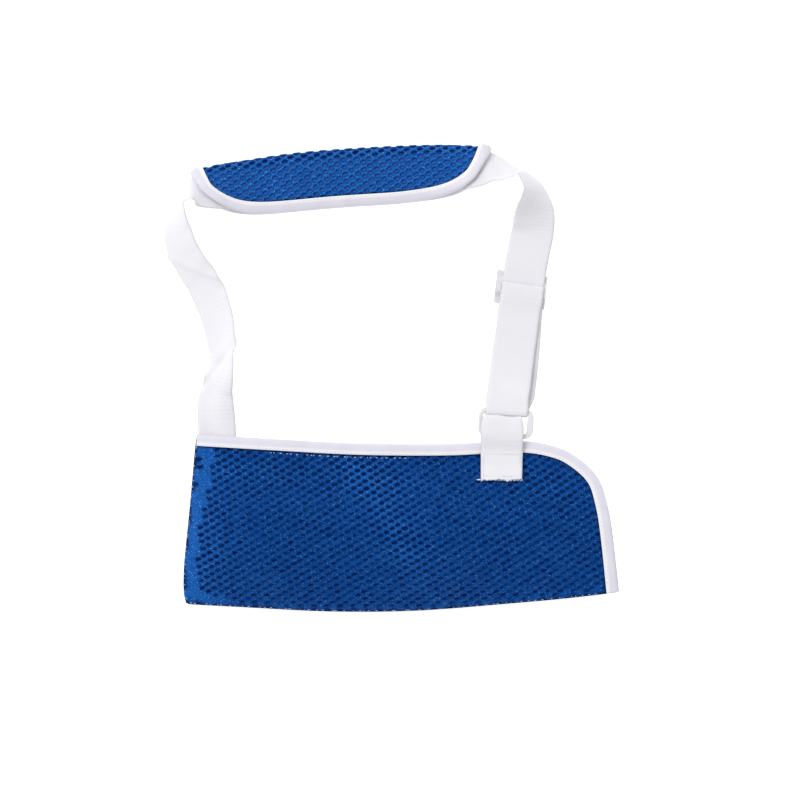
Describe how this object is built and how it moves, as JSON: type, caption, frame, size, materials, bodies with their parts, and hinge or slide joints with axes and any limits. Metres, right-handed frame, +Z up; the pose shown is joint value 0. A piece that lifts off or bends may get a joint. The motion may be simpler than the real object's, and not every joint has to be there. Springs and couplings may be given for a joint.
{
  "type": "arm sling",
  "caption": "Air-mesh forearm pouch hung from one adjustable webbing neck strap with a folded shoulder pad, slider and ring.",
  "frame": {"origin": "centre of the bounding box on the surface that the sling lies on", "axes": "+X towards the wrist end of the pouch, +Y from the pouch to the shoulder pad, +Z up, off the surface"},
  "size_m": [0.4087, 0.4199, 0.0426],
  "materials": {
    "air_mesh": "soft royal-blue air mesh with staggered oval holes",
    "binding_tape": "smooth knitted white tape, one row of stitches",
    "webbing": "matt white woven webbing with cross ribs",
    "white_plastic": "moulded white plastic, satin"
  },
  "bodies": {
    "pouch": {"pouch_back_panel": "air_mesh", "pouch_front_panel": "air_mesh", "pouch_back_binding": "binding_tape", "pouch_front_binding": "binding_tape", "strap_anchor": "webbing", "anchor_tab": "webbing"},
    "strap_loop": {"neck_strap": "webbing", "ring": "white_plastic", "strap_return": "webbing"},
    "slider": {"slider_frame": "white_plastic", "strap_end": "webbing"},
    "pad": {"pad_cover": "air_mesh", "pad_back_binding": "binding_tape", "pad_front_binding": "binding_tape"}
  },
  "joints": [
    {"name": "loop_swing", "type": "hinge", "parent": "pouch", "child": "strap_loop", "pos_m": [-0.156, -0.038, 0.0092], "axis": [0.9972, -0.0514, 0.0538], "range_deg": [0, 85]},
    {"name": "slider_adjust", "type": "slide", "parent": "strap_loop", "child": "slider", "axis": [0.147, 0.9891, 0], "range_m": [-0.035, 0.03], "deforming": ["strap_return"]},
    {"name": "pad_slide", "type": "slide", "parent": "strap_loop", "child": "pad", "axis": [0.998, 0.063, 0], "range_m": [-0.0018, 0.0015]}
  ]
}
